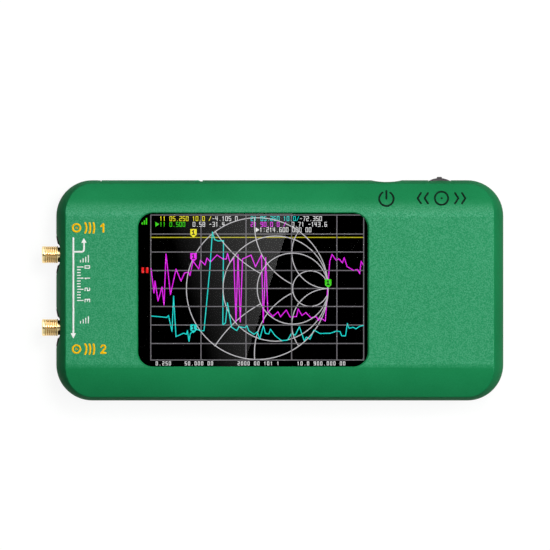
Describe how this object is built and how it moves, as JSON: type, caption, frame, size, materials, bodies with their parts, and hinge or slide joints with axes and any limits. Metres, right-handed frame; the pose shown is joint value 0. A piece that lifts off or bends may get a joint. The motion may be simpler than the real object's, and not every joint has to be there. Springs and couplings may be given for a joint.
{
  "type": "antenna analyzer",
  "caption": "Flat hand-held antenna analyzer with a touch screen, threaded coaxial ports on one end, and a slide switch, rocking wheel and hinged port cover along one side.",
  "frame": {"origin": "centre of the flat back face, which it lies on", "axes": "+Z out of the screen, +X along the case away from the coaxial ports, +Y towards the side with the switch and the wheel"},
  "size_m": [0.1707, 0.0827, 0.024],
  "materials": {
    "case_green": "fine moulded grain",
    "touch_glass": "clear and glossy",
    "gasket_black": "adhesive foam",
    "display_black": "dark display glass",
    "display_frame": "backlight frame",
    "flex_amber": "polyimide flex",
    "connector_ivory": "moulded connector",
    "board_green": "solder mask",
    "port_gold": "gold plated",
    "insulator_white": "fluoropolymer",
    "sheet_steel": "tinned sheet",
    "chip_black": "moulded chip",
    "switch_black": "moulded switch part",
    "wheel_black": "satin moulded cap",
    "carriage_grey": "moulded slide",
    "cell_silver": "pouch foil",
    "pad_grey": "foam tape",
    "lead_red": "insulated wire",
    "screw_steel": "blackened"
  },
  "bodies": {
    "case": {"front_shell": "case_green", "rear_shell": "case_green", "cover_hinge_pin": "screw_steel", "touch_panel": "touch_glass", "screen_gasket": "gasket_black", "lcd_panel": "display_black", "lcd_frame": "display_frame", "lcd_flex": "flex_amber", "flex_connector": "connector_ivory", "main_board": "board_green", "port_1_jack": "port_gold", "port_1_insulator": "insulator_white", "port_1_contact": "port_gold", "port_2_jack": "port_gold", "port_2_insulator": "insulator_white", "port_2_contact": "port_gold", "shield_frame": "sheet_steel", "shield_lid": "sheet_steel", "processor_chip": "chip_black", "radio_chips": "chip_black", "oscillator_can": "sheet_steel", "usb_socket_shell": "sheet_steel", "usb_socket_tongue": "switch_black", "card_socket": "sheet_steel", "power_switch_body": "sheet_steel", "jog_switch_body": "switch_black", "battery_cell": "cell_silver", "battery_pad": "pad_grey", "battery_leads": "lead_red", "battery_plug": "insulator_white", "battery_header": "connector_ivory", "case_screws": "screw_steel"},
    "switch_knob": {"power_switch_knob": "switch_black"},
    "wheel_carriage": {"jog_carriage": "carriage_grey"},
    "rocking_wheel": {"function_wheel": "wheel_black"},
    "cover": {"port_cover": "case_green"}
  },
  "joints": [
    {"name": "power_slide", "type": "slide", "parent": "case", "child": "switch_knob", "axis": [1, 0, 0], "range_m": [0, 0.002]},
    {"name": "wheel_press", "type": "slide", "parent": "case", "child": "wheel_carriage", "axis": [0, -1, 0], "range_m": [0, 0.0005], "stiffness_N_per_m": 2000, "springref_m": -0.0002},
    {"name": "wheel_rock", "type": "hinge", "parent": "wheel_carriage", "child": "rocking_wheel", "pos_m": [0.05905, 0.03355, 0.012], "axis": [0, 0, 1], "range_deg": [-10, 10], "stiffness_Nm_per_rad": 0.05},
    {"name": "cover_swing", "type": "hinge", "parent": "case", "child": "cover", "pos_m": [-0.0305, 0.0391, 0.012], "axis": [0, 0, -1], "range_deg": [0, 95]}
  ]
}
